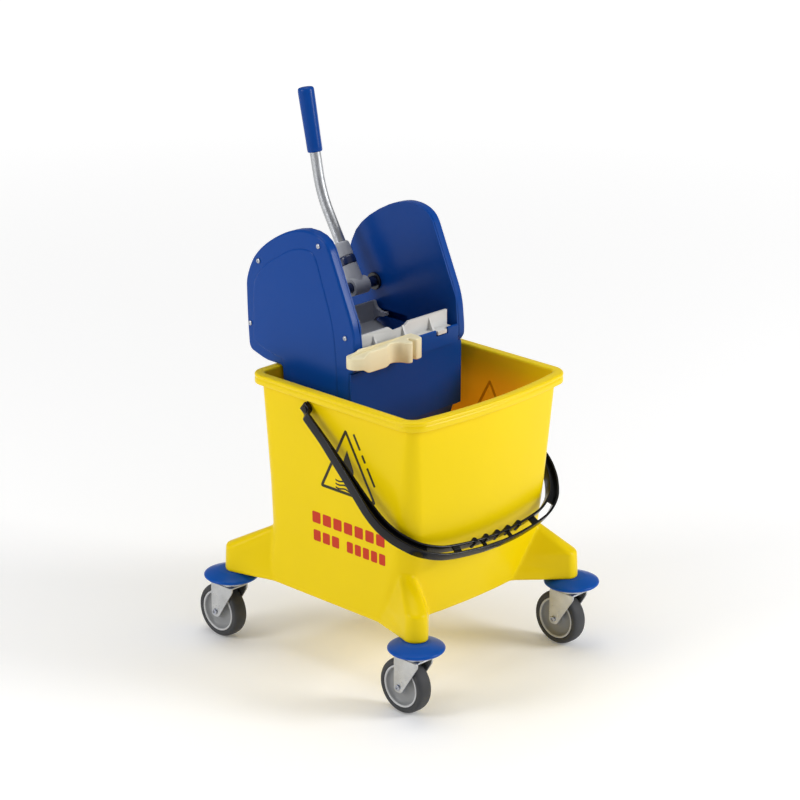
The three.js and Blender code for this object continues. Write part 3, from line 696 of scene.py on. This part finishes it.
def resampled(points, count=120):
    p = np.vstack([np.asarray(points, dtype=float), points[0]])
    lengths = np.concatenate([[0], np.cumsum(np.linalg.norm(np.diff(p, axis=0), axis=1))])
    at = np.linspace(0, lengths[-1], count, endpoint=False)
    return np.stack([np.interp(at, lengths, p[:, 0]), np.interp(at, lengths, p[:, 1])], axis=1)


def block_row(start, pitch, count, gap, z0, z1):
    """Blocks running towards the front from y = start, between two heights."""
    row = []
    for i in range(count):
        y0, y1 = start - pitch * (i + 1) + gap, start - pitch * i
        row.append(round_closed([(y0, z0), (y1, z0), (y1, z1), (y0, z1)], 2.5))
    return row


MARK_TOP, MARK_BACK, MARK_FRONT = (-38, 378), (15, 279), (-95, 279)
outer = resampled(round_closed([MARK_TOP, MARK_BACK, MARK_FRONT], 6))
inner = inset_outline(outer, 4.4)
DROP_TIP, DROP_AT, DROP_R = (-40, 346), (-40, 316), 12
drop = [DROP_TIP]
for i in range(25):
    angle = math.radians(35 - 250 * i / 24)
    drop.append((DROP_AT[0] + DROP_R * math.cos(angle), DROP_AT[1] + DROP_R * math.sin(angle)))
drop_outline = resampled(drop, 60)
WAVE_FRONT, WAVE_BACK, WAVE_TOP, WAVE_PITCH, WAVE_RISE, WAVE_THICK = -64, -16, 298, 5.5, 1.1, 2.4
waves = []
for k in range(3):
    wave_length = (WAVE_BACK - WAVE_FRONT) / 2
    upper_edge = []
    for y in np.linspace(WAVE_FRONT, WAVE_BACK, 25):
        rise = WAVE_RISE * math.sin(2 * math.pi * (y - WAVE_FRONT) / wave_length)
        upper_edge.append((y, WAVE_TOP - WAVE_PITCH * k + rise))
    waves.append(upper_edge + [(y, z - WAVE_THICK) for y, z in upper_edge][::-1])
# three dashes along the front slope of the triangle
slope = (Vector(MARK_FRONT) - Vector(MARK_TOP)).normalized()
off_slope = Vector((slope.y, -slope.x))
DASH_GAP, DASH_WIDTH = 9, 4
dashes = []
for start, stop in ((12, 36), (43, 55), (62, 90)):
    a = Vector(MARK_TOP) + slope * start + off_slope * DASH_GAP
    b = Vector(MARK_TOP) + slope * stop + off_slope * DASH_GAP
    across_dash = off_slope * DASH_WIDTH
    dashes.append(round_closed([tuple(a), tuple(b), tuple(b + across_dash), tuple(a + across_dash)], 1.2))
blocks = block_row(32, 20.9, 7, 4.6, 220.5, 237.5)
for start, pitch, count, gap in ((30, 18.3, 3, 4.2), (-36, 15.7, 5, 3.8)):
    blocks += block_row(start, pitch, count, gap, 193.5, 210)
for tag, side in SIDES.items():
    dark = [print_patch(side, outer, inner), print_patch(side, drop_outline)]
    dark += [print_patch(side, outline) for outline in waves + dashes]
    red = [print_patch(side, outline) for outline in blocks]
    # painted shadow: the triangle and the drop show faintly through the wall as darker patches on the inside
    through = [print_patch(side, outline, hole, CAVITY_KEYS, (-0.12, 0.05))
               for outline, hole in ((outer, inner), (drop_outline, None))]
    for name, shells, ink in (("wall_mark_", dark, "mark"), ("wall_blocks_", red, "red"),
                              ("wall_mark_painted_shadow_inside_", through, "shadowed")):
        finish_mesh(name + tag, join(name, shells), ink, "base", ("bucket_tub",))

# ------------------------------------------------------------------ casters
CASTER_X, CASTER_Y, TRAIL, WHEEL_R, FORK_HALF = 161.4, 185.5, 19.7, 40.0, 16.0
UP, ACROSS = (0, 0, 1), (1, 0, 0)
# (radius, height) profiles: the first three rise from the floor, the rest from the wheel's middle
DISC = [(5.9, 90), (16, 90), (30, 95), (38.0, 98.2), (39.7, 99.8), (40, 101.2), (39.4, 102.6), (37.6, 103.7),
        (34, 105.2), (29, 106.9), (24, 108.4), (21, 109.2), (19.5, 109.6), (5.9, 109.6), (5.9, 90)]
STEM = rounded([(0, 86.9), (17.4, 86.9), (17.4, 89.7), (5.5, 89.7), (5.5, 137), (4, 138.5), (0, 138.5)], 0.7)
RACE = rounded([(0, 83.2), (13, 83.2), (14.5, 84.4), (14.5, 86.4), (0, 86.4)], 0.6)
BOLT_HEAD = [(0, 16.05), (4.2, 16.05), (4.4, 16.3), (4.4, 17.5), (4.0, 18.1), (3.2, 18.4), (2.3, 18.4),
             (2.0, 18.1), (1.8, 17.0), (0, 16.9)]
BOLT = [(0, -16.1), (3, -16.1), (3, 16.1), (0, 16.1)]
HUB = [(3.3, -12.8), (8.2, -12.8), (9.2, -12.2), (9.9, -9), (11, -6.6), (13, -5.6), (22.5, -4.6), (25, -5.2),
       (26.6, -7.6), (27.8, -10.2), (28.8, -11.2), (30.2, -11.2), (30.6, -10.4), (30.6, 0), (30.6, 10.4),
       (30.2, 11.2), (28.8, 11.2), (27.8, 10.2), (26.6, 7.6), (25, 5.2), (22.5, 4.6), (13, 5.6), (11, 6.6),
       (9.9, 9), (9.2, 12.2), (8.2, 12.8), (3.3, 12.8), (3.3, -12.8)]
HUB_EDGE = rounded([(27.6, 10.0), (28.0, 11.0), (28.8, 11.6), (29.9, 11.6), (30.5, 11.0), (30.6, 10.0)], 0.4)
HUB_EDGE += [(29, 9.6), HUB_EDGE[0]]
TREAD = [(30.7, -10.6), (31.6, -11.4), (33.2, -11.9), (35, -12), (36.4, -11.7), (37.6, -10.9), (38.7, -9.4),
         (39.5, -7.2), (39.95, -4), (40, 0), (39.95, 4), (39.5, 7.2), (38.7, 9.4), (37.6, 10.9), (36.4, 11.7),
         (35, 12), (33.2, 11.9), (31.6, 11.4), (30.7, 10.6), (30.7, -10.6)]
for tag, (side, end) in TAGS.items():
    cx, cy = side * CASTER_X, end * CASTER_Y
    ay = cy + TRAIL
    axle = (cx, ay, WHEEL_R)
    swivel, wheel = "swivel_" + tag, "wheel_" + tag
    finish_mesh("bumper_disc_" + tag + "_moulding", raw_mesh("disc", *turned(DISC, (cx, cy, 0), UP, 96)),
                "disc", "base", ("bumper_disc_" + tag,), 50.0)
    finish_mesh("caster_stem_" + tag + "_turned", raw_mesh("stem", *turned(STEM, (cx, cy, 0), UP, 48)),
                "zinc", "base", ("caster_stem_" + tag,))

    leg = [(cy - 17, 86.5), (cy - 17, 79), (ay - 7.5, 34.5), (ay - 4, 32.2), (ay + 4, 32.2), (ay + 7.8, 36),
           (ay + 8, 84), (ay + 6, 86.5)]
    leg_outline = round_closed(leg, [1, 5, 6, 3, 4, 5, 2, 1], 5)
    shells = []
    left, right, sheet = cx - FORK_HALF, cx + FORK_HALF, 2.5
    for a, b in ((left, left + sheet), (right - sheet, right)):
        shells.append(slab(leg_outline, edge_levels(a, b, 0.7, 3), lambda y, z, x: (x, y, z)))
    crown = round_closed([(left, cy - 17), (right, cy - 17), (right, ay + 6), (left, ay + 6)], 2.5)
    shells.append(slab(crown, edge_levels(84.1, 86.6, 0.8, 3), lambda x, y, z: (x, y, z)))
    shells.append(turned(RACE, (cx, cy, 0), UP, 40))
    finish_mesh("caster_fork_" + tag + "_pressed", join("fork", shells), "zinc", swivel,
                ("caster_fork_" + tag,))

    shells = [turned(BOLT_HEAD, axle, (direction, 0, 0), 36) for direction in (-1, 1)]
    shells.append(turned(BOLT, axle, ACROSS, 32))
    finish_mesh("axle_bolt_" + tag + "_headed", join("bolt", shells), "screw", swivel,
                ("axle_bolt_" + tag,))
    finish_mesh("wheel_rim_" + tag + "_moulding", raw_mesh("rim", *turned(HUB, axle, ACROSS, 96)),
                "hub", wheel, ("wheel_rim_" + tag,), 50.0)
    shells = [turned(HUB_EDGE, axle, (direction, 0, 0), 96) for direction in (-1, 1)]
    finish_mesh("wheel_rim_" + tag + "_edge", join("rim_edge", shells), "hub_ring", wheel,
                ("wheel_rim_" + tag,), 50.0)
    finish_mesh("wheel_tread_" + tag + "_moulding", raw_mesh("tread", *turned(TREAD, axle, ACROSS, 128)),
                "tread", wheel, ("wheel_tread_" + tag,), 50.0)

# ------------------------------------------------------------------ carrying handle
BAIL_Y, BAIL_Z, BAIL_DROP, BAIL_WIDTH = 31.6, 391.0, 38.8, 15.0
# two rails with a web between them, wherever the handle is deeper than THIN
RAIL, WEB_LAP, WEB_HALF, THIN = 3.4, 0.4, 1.5, 5.8
# outer edge of the right half (x, distance from the pivot), then how deep the handle is there
EDGE = [
    (158.6, -6.8, 8), (158.6, 0, 8), (159.2, 3.8, 7.4), (162.0, 7.0, 5.4), (165.6, 10.2, 4.5),
    (166.6, 15.5, 4.9), (166.7, 34, 5.1), (167, 54, 5.6), (169.6, 85, 7.8), (172.2, 117, 10),
    (175.4, 148, 12.5), (177.9, 176, 15), (176.5, 200, 15.8), (171, 219, 15.8), (161.5, 237, 15.8),
    (143, 258.8, 15.8), (117, 274.3, 15.8), (90, 282.3, 15.8), (42, 288.8, 15.8), (0, 290.8, 15.8),
]
keys = np.asarray(EDGE, dtype=float)
half_curve = np.vstack([keys[:1], spline(keys[1:], 8)])
mirror = half_curve[:-1][::-1].copy()
mirror[:, 0] *= -1
curve = np.vstack([half_curve, mirror])
tangent = np.gradient(curve[:, :2], axis=0)
tangent[0] = tangent[1]
tangent[-1] = tangent[-2]
tangent /= np.linalg.norm(tangent, axis=1, keepdims=True)
inward = np.column_stack([-tangent[:, 1], tangent[:, 0]])
turn = math.radians(180 + BAIL_DROP)


def in_bail(x, d, w):
    """The handle's own plane (x, distance from the pivot, across) to the CAD layout."""
    y = BAIL_Y + d * math.cos(turn) - w * math.sin(turn)
    z = BAIL_Z + d * math.sin(turn) + w * math.cos(turn)
    return (x, y, z)


def bail_strip(rows, start, stop, half_width, radius):
    """rows: indices along the curve; start and stop: offsets inward as functions of the depth."""
    rings = []
    for i in rows:
        x, d, depth = curve[i]
        a0, a1 = start(depth), stop(depth)
        corners = [(a0, -half_width), (a1, -half_width), (a1, half_width), (a0, half_width)]
        section = round_closed(corners, radius, 3)
        rings.append([in_bail(x + inward[i][0] * a, d + inward[i][1] * a, w) for a, w in section])
    return loft(rings)


def bail_web(rows):
    lap = RAIL - WEB_LAP
    return bail_strip(rows, lambda depth: lap, lambda depth: depth - lap, WEB_HALF, 0.64)


total = len(curve)
shells = [
    bail_strip(range(total), lambda depth: 0.0, lambda depth: RAIL, BAIL_WIDTH / 2, 1.44),
    bail_strip(range(total), lambda depth: depth - RAIL, lambda depth: depth, BAIL_WIDTH / 2, 1.44),
]
WINDOWS, WINDOWS_FROM = [(-129, -89), (-73, -35), (-21, 17), (31, 69), (89, 129)], 240
rows = []
for i in range(1, total - 1):
    x, d, depth = curve[i]
    in_window = d > WINDOWS_FROM and any(a < x < b for a, b in WINDOWS)
    if depth > THIN and not in_window:
        rows.append(i)
        continue
    if len(rows) > 1:
        shells.append(bail_web(rows))
    rows = []
shells.append(bail_web(rows))
KNOB = rounded([(0, -7.5), (4.6, -7.5), (4.6, 7.5), (0, 7.5)], 1.2)
KNOB_REACH, KNOB_DISTANCE, KNOB_FALL = 45, 274.9, 1.4
for step in (-1, -0.5, 0, 0.5, 1):
    middle = in_bail(step * KNOB_REACH, KNOB_DISTANCE - KNOB_FALL * step ** 2, 0)
    direction = Vector(in_bail(0, 0, 1)) - Vector(in_bail(0, 0, 0))
    shells.append(turned(KNOB, middle, direction, 28))
finish_mesh("bail_handle_moulding", join("bail", shells), "black", "bail", ("bail_handle",),
            40.0)
PIN = rounded([(0, 140.8), (6.9, 140.8), (6.9, 144), (3.8, 144.3), (3.8, 158.9), (4.9, 158.9), (4.9, 159.7),
               (4, 160.3), (0, 160.3)], 0.4)
for tag, side in SIDES.items():
    pin = turned(PIN, (0, BAIL_Y, BAIL_Z), (side, 0, 0), 40)
    finish_mesh("bail_pin_" + tag + "_turned", raw_mesh("pin", *pin), "black", "base",
                ("bail_pin_" + tag,))

# ------------------------------------------------------------------ wringer housing
refined("wringer_body_moulding", "wringer_body", "blue", "wringer", 0.9)
refined("wringer_front_wall_moulding", "wringer_front_wall", "blue", "wringer", 0.9)
ARCH = [(-14, 441), (-20, 450), (-20, 464), (-16, 506), (30, 609), (37, 618), (48, 624.5), (62, 628),
        (80, 628.5), (97, 625), (116, 618), (136, 607.5), (156, 594.5), (172, 581), (184, 567), (193, 549),
        (198.5, 532), (197.5, 480), (194.5, 437), (190, 430), (160, 421)]
# outlines (y, z) of the side covers and of the raised field on each, with the radius of every corner
PANEL = [(-8.6, 342), (-8.6, 439.2), *ARCH, (126, 421), (125, 400), (120.5, 342)]
PANEL_ROUND = [2, 3, 3, 4, 6, 60, 12, 10, 12, *[20] * 9, 14, 30, 6, 8, 10, 6, 20, 2]
FIELD = [(13, 343), (15, 430), (18.5, 476), (25, 511), (37, 544), (50, 580), (55, 592), (61, 599.5),
         (71, 602), (84, 601.5), (100, 597), (112, 591.5), (150, 569), (172, 549), (182, 531), (184, 445),
         (160, 437), (122, 431), (116, 343)]
FIELD_ROUND = [2, 30, 30, 30, 30, 12, 8, 8, 8, 12, 14, 14, 20, 16, 14, 8, 10, 8, 2]
panel_outline = round_closed(PANEL, PANEL_ROUND, 6)
field_outline = round_closed(FIELD, FIELD_ROUND, 6)
COVER_BACK, COVER_LIP, COVER_FACE, COVER_ROUND = 108.5, 98, 107.4, 3.6
cover_levels = [(COVER_BACK, 2.6), (COVER_LIP, 2.5), (COVER_LIP, 0.4), (COVER_LIP + 0.4, 0), (COVER_FACE, 0)]
for i in range(1, 7):
    a = math.pi / 2 * i / 6
    cover_levels.append((COVER_FACE + COVER_ROUND * math.sin(a), COVER_ROUND * (1 - math.cos(a))))
FIELD_LEVELS = [(110.6, 0), (111.0, 0.0), (111.5, 0.5), (111.9, 1.2), (112.1, 2.0), (112.2, 3.0)]
SCREW_HEAD = [(0, 101), (2, 101), (2, 111.3), (3.5, 111.3), (3.6, 111.7), (3.4, 112.4), (2.7, 112.9),
              (1.6, 113.2), (1.2, 113.1), (0.8, 112.2), (0, 112.0)]
SCREWS_AT = ((171, 565.5), (50, 611), (-1, 490), (190, 470))
BUSH = [(8.2, 91), (12.2, 91), (13, 91.8), (13, 94.7), (10.2, 94.7), (10.2, 97.3), (8.2, 97.3), (8.2, 91)]
for tag, side in SIDES.items():
    def on_cover(y, z, x, sign=side):
        return (sign * x, y, z)
    shells = [slab(panel_outline, cover_levels, on_cover), slab(field_outline, FIELD_LEVELS, on_cover)]
    finish_mesh("side_cover_" + tag + "_moulding", join("cover", shells), "blue", "wringer",
                ("side_cover_" + tag,), 40.0)
    for i, (y, z) in enumerate(SCREWS_AT):
        name = f"cover_screw_{tag}_{i + 1}"
        finish_mesh(name + "_headed", raw_mesh("screw", *turned(SCREW_HEAD, (0, y, z), (side, 0, 0), 32)),
                    "screw", "wringer", (name,))
    bush = turned(BUSH, (0, SHAFT_Y, SHAFT_Z), (side, 0, 0), 48)
    finish_mesh("shaft_bush_" + tag + "_turned", raw_mesh("bush", *bush), "dark", "wringer",
                ("shaft_bush_" + tag,))

# ------------------------------------------------------------------ lever
LEVER_X = 59.0
shaft_point = Vector((LEVER_X, SHAFT_Y, SHAFT_Z))
bend_point = Vector((LEVER_X, 218, 621))
top_point = Vector((LEVER_X, 249, 774.5))
lower = (bend_point - shaft_point).normalized()
upper = (top_point - bend_point).normalized()
SHAFT_R, SHAFT_HALF, TUBE_R = 7.9, 102.3, 8.0
rod = rounded([(0, -SHAFT_HALF), (SHAFT_R, -SHAFT_HALF), (SHAFT_R, SHAFT_HALF), (0, SHAFT_HALF)], 1.0)
finish_mesh("cross_shaft_turned", raw_mesh("shaft", *turned(rod, (0, SHAFT_Y, SHAFT_Z), ACROSS, 64)), "navy",
            "lever", ("cross_shaft",))
refined("lever_socket_cast", "lever_socket", "grey", "lever", 1.0)
COLLAR = [(8.3, 33.4), (11.4, 33.4), (12.2, 34.1), (12.5, 36), (12.5, 42.6), (12.2, 44.6), (11.4, 45.5),
          (8.3, 45.5), (8.3, 33.4)]
finish_mesh("lever_collar_turned", raw_mesh("collar", *turned(COLLAR, shaft_point, lower, 64)), "navy",
            "lever", ("lever_collar",), 45.0)
SLEEVE = [(8.3, 45.9), (11.3, 45.9), (11.9, 46.5), (12, 48), (12, 62), (11.6, 64.6), (10.6, 66.6),
          (9.6, 67.4), (8.3, 67.5), (8.3, 45.9)]
finish_mesh("lever_sleeve_turned", raw_mesh("sleeve", *turned(SLEEVE, shaft_point, lower, 64)), "grey",
            "lever", ("lever_sleeve",), 45.0)
BEND = 30   # the tube's bend starts and ends this far from its corner
p0 = shaft_point + lower * 16
p1 = bend_point - lower * BEND
p2 = bend_point + upper * BEND
p3 = top_point - upper * 14
path = [p0.lerp(p1, i / 12) for i in range(12)]
path += [p1 * (1 - t) ** 2 + bend_point * 2 * t * (1 - t) + p2 * t ** 2 for t in (i / 24 for i in range(25))]
path += [p2.lerp(p3, i / 14) for i in range(1, 15)]
angles = [2 * math.pi * i / 48 for i in range(48)]
section = [(TUBE_R * math.cos(a), TUBE_R * math.sin(a)) for a in angles]
directions = []
for i in range(len(path)):
    ahead = (path[min(i + 1, len(path) - 1)] - path[max(i - 1, 0)]).normalized()
    directions.append((Vector(ACROSS), ahead.cross(Vector(ACROSS))))
finish_mesh("lever_tube_bent", raw_mesh("tube", *sweep(path, section, directions)), "steel", "lever",
            ("lever_tube",))
GRIP = 95.0
grip_foot = top_point - upper * GRIP
grip = [(0, GRIP - 13), (8.3, GRIP - 13), (8.3, 0.2), (10.0, 0), (10.8, 0.8), (11.1, 2.4), (11.2, 8),
        (11.3, 24), (11.6, 44), (11.9, 64), (12.1, 84), (12.1, 89), (11.8, 91.4), (11.0, 93), (9.3, 94.1),
        (6.5, 94.7), (3, 94.9), (0, GRIP)]
finish_mesh("lever_grip_moulding", raw_mesh("grip", *turned(grip, grip_foot, upper, 72)), "blue", "lever",
            ("lever_grip",), 45.0)

# ------------------------------------------------------------------ mechanism, plates and clip
for tag in SIDES:
    refined("crank_" + tag + "_cast", "crank_" + tag, "zinc", "lever", 0.5)
    refined("drive_arm_" + tag + "_pressed", "drive_arm_" + tag, "zinc", "press", 0.5)
GUIDE_AT, GUIDE_R, GUIDE_HALF = (0, 147, 452), 5, 107.6
guide = rounded([(0, -GUIDE_HALF), (GUIDE_R, -GUIDE_HALF), (GUIDE_R, GUIDE_HALF), (0, GUIDE_HALF)], 0.8)
finish_mesh("guide_rod_turned", raw_mesh("guide", *turned(guide, GUIDE_AT, ACROSS, 48)), "guide", "press",
            ("guide_rod",))
refined("rear_press_plate_moulding", "rear_press_plate", "grey", "press", 0.8)
refined("front_press_plate_moulding", "front_press_plate", "white", "wringer", 0.6)

# outline (x, y) of the clip, with the radius of every corner; its left end thins over THIN_RUN from THIN_FROM
CLIP = [(-6, -24.3), (-6, -38), (-9, -50), (-22, -51), (-24, -38), (-30, -41), (-32, -54), (-36, -56.5),
        (-42, -54), (-45, -44), (-52, -38), (-60, -37), (-66, -41), (-74, -44.5), (-108, -44.5), (-118, -42),
        (-124, -38), (-129, -32), (-130, -24), (-126, -17), (-116, -14.6), (-112, -21.6), (-96, -24.3)]
CLIP_ROUND = [2, 4, 4, 4, 4, 3, 5, 4, 5, 6, 6, 6, 6, 20, 20, 8, 8, 8, 8, 8, 5, 5, 20]
CLIP_LOW, CLIP_HIGH = 449, 479
THIN_FROM, THIN_RUN, THIN_LOW, THIN_HIGH = 106, 12, 5.5, 7
clip_outline = round_closed(CLIP, CLIP_ROUND, 5)


def clip_point(x, y, h):
    """The left end is thinner than the rest, with an eased step."""
    t = min(1.0, max(0.0, (-x - THIN_FROM) / THIN_RUN))
    t = t * t * (3 - 2 * t)
    low, high = CLIP_LOW + THIN_LOW * t, CLIP_HIGH - THIN_HIGH * t
    return (x, y, low + (high - low) * h)


clip_height = CLIP_HIGH - CLIP_LOW
clip_levels = [(h / clip_height, inset) for h, inset in edge_levels(0, clip_height, 1.8, 5)]
clip = slab(clip_outline, clip_levels, clip_point)
finish_mesh("mop_handle_clip_moulding", raw_mesh("clip", *clip), "cream", "wringer",
            ("mop_handle_clip",), 50.0)

# ------------------------------------------------------------------ last update of the scene
bpy.context.view_layer.update()
